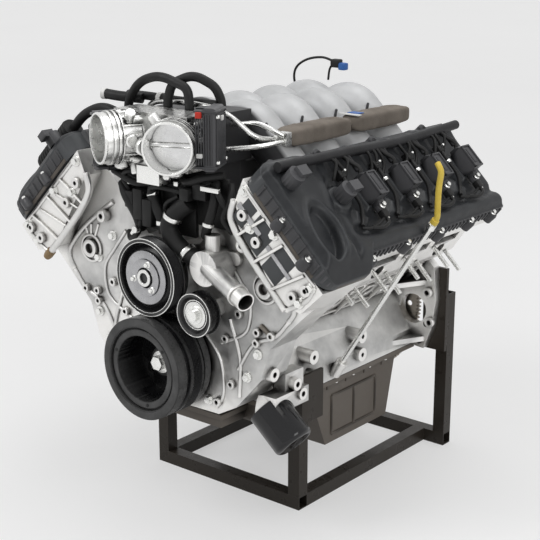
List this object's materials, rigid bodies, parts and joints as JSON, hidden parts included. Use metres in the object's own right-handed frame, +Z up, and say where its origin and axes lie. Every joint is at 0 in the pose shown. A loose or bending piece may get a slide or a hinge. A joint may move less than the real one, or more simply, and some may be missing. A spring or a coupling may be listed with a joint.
{
  "type": "engine",
  "caption": "V engine with overhead cams, twin throttle bodies and an arched-runner intake, bolted to a welded square-tube stand.",
  "frame": {"origin": "on the crankshaft axis in the plane of the block's rear face, inside the crankshaft's pilot bore", "axes": "+Y out of the flexplate end, -Y towards the crank damper, +Z up, +X towards the left bank"},
  "size_m": [0.7517, 0.6863, 0.7948],
  "materials": {
    "cast_aluminium": "sand-cast and machined",
    "machined_aluminium": "machined",
    "forged_steel": "ground",
    "dark_steel": "oil-blackened",
    "bright_steel": "zinc plated",
    "black_iron": "black enamel",
    "bearing_metal": "plated shell",
    "rubber": "matt",
    "gasket": "matt",
    "black_composite": "grained",
    "brown_composite": "grained",
    "silver_composite": "smooth satin",
    "gloss_black": "gloss enamel",
    "foam": "pressed foam",
    "yellow_plastic": "satin",
    "stand_paint": "satin powder coat",
    "wire_loom": "braided and taped"
  },
  "bodies": {
    "engine": {"breather_hoses": "rubber", "cam_bearing_caps": "machined_aluminium", "cam_cover_left": "black_composite", "cam_cover_right": "black_composite", "cam_followers": "forged_steel", "cam_timing_solenoids": "bright_steel", "chain_guides": "brown_composite", "connecting_rods": "forged_steel", "coolant_pipes": "bright_steel", "cylinder_block": "cast_aluminium", "cylinder_head_left": "cast_aluminium", "cylinder_head_right": "cast_aluminium", "dipstick_tube": "bright_steel", "drain_plug": "bright_steel", "exhaust_studs": "bright_steel", "front_cover": "cast_aluminium", "front_cover_bolts": "bright_steel", "fuel_injectors": "black_composite", "fuel_rail_covers": "foam", "fuel_rails": "bright_steel", "gaskets": "gasket", "ignition_coils": "black_composite", "intake_manifold": "silver_composite", "main_bearing_caps": "dark_steel", "main_bearing_shells": "bearing_metal", "oil_filter": "gloss_black", "oil_filter_adapter": "cast_aluminium", "oil_pan": "brown_composite", "oil_pickup_tube": "bright_steel", "oil_pump": "cast_aluminium", "piston_rings": "dark_steel", "pistons": "machined_aluminium", "spark_plugs": "bright_steel", "stand_frame": "stand_paint", "stand_plates": "stand_paint", "thermostat_housing": "cast_aluminium", "throttle_body": "machined_aluminium", "throttle_gear_covers": "black_composite", "timing_chains": "dark_steel", "valve_springs": "bright_steel", "valves": "forged_steel", "wiring_harness": "wire_loom"},
    "crank_train": {"crankshaft": "forged_steel", "crank_sprocket": "forged_steel", "damper_hub": "black_iron", "damper_rubber": "rubber", "damper_inertia_ring": "black_iron", "crank_bolts": "bright_steel", "flexplate": "dark_steel"},
    "intake_cam_left": {"camshaft_intake_left": "forged_steel"},
    "exhaust_cam_left": {"camshaft_exhaust_left": "forged_steel"},
    "intake_cam_right": {"camshaft_intake_right": "forged_steel"},
    "exhaust_cam_right": {"camshaft_exhaust_right": "forged_steel"},
    "water_pump": {"water_pump_rotor": "bright_steel", "water_pump_pulley": "black_iron"},
    "idler": {"idler_pulley": "black_composite"},
    "throttle_left": {"throttle_plate_left": "machined_aluminium"},
    "throttle_right": {"throttle_plate_right": "machined_aluminium"},
    "dipstick": {"dipstick": "yellow_plastic"},
    "fill_cap": {"oil_fill_cap": "black_composite"}
  },
  "joints": [
    {"name": "crank_spin", "type": "hinge", "parent": "engine", "child": "crank_train", "pos_m": [0, 0, 0], "axis": [0, 1, 0], "continuous": true, "deforming": ["connecting_rods", "pistons", "piston_rings", "timing_chains"]},
    {"name": "intake_cam_left_spin", "type": "hinge", "parent": "engine", "child": "intake_cam_left", "pos_m": [0.2093, -0.3, 0.27153], "axis": [0, 1, 0], "continuous": true, "deforming": ["valves", "valve_springs", "cam_followers"]},
    {"name": "exhaust_cam_left_spin", "type": "hinge", "parent": "engine", "child": "exhaust_cam_left", "pos_m": [0.27153, -0.3, 0.2093], "axis": [0, 1, 0], "continuous": true},
    {"name": "intake_cam_right_spin", "type": "hinge", "parent": "engine", "child": "intake_cam_right", "pos_m": [-0.2093, -0.3, 0.27153], "axis": [0, 1, 0], "continuous": true},
    {"name": "exhaust_cam_right_spin", "type": "hinge", "parent": "engine", "child": "exhaust_cam_right", "pos_m": [-0.27153, -0.3, 0.2093], "axis": [0, 1, 0], "continuous": true},
    {"name": "water_pump_spin", "type": "hinge", "parent": "engine", "child": "water_pump", "pos_m": [0, -0.58, 0.1605], "axis": [0, 1, 0], "continuous": true},
    {"name": "idler_spin", "type": "hinge", "parent": "engine", "child": "idler", "pos_m": [0.102, -0.57, 0.112], "axis": [0, 1, 0], "continuous": true},
    {"name": "throttle_left_turn", "type": "hinge", "parent": "engine", "child": "throttle_left", "pos_m": [0.06225, -0.57693, 0.393], "axis": [0.9063, 0.4226, 0], "range_deg": [0, 84]},
    {"name": "throttle_right_turn", "type": "hinge", "parent": "engine", "child": "throttle_right", "pos_m": [-0.06225, -0.57693, 0.393], "axis": [0.9063, -0.4226, 0], "range_deg": [0, 84]},
    {"name": "dipstick_pull", "type": "slide", "parent": "engine", "child": "dipstick", "axis": [0.5374, 0, 0.8433], "range_m": [0, 0.46]},
    {"name": "fill_cap_turn", "type": "hinge", "parent": "engine", "child": "fill_cap", "pos_m": [-0.32527, -0.34, 0.29698], "axis": [-0.7071, 0, 0.7071], "range_deg": [0, 90]}
  ],
  "couplings": [
    {"joint": "intake_cam_left_spin", "follows": "crank_spin", "ratio": 0.5},
    {"joint": "exhaust_cam_left_spin", "follows": "crank_spin", "ratio": 0.5},
    {"joint": "intake_cam_right_spin", "follows": "crank_spin", "ratio": 0.5},
    {"joint": "exhaust_cam_right_spin", "follows": "crank_spin", "ratio": 0.5}
  ]
}
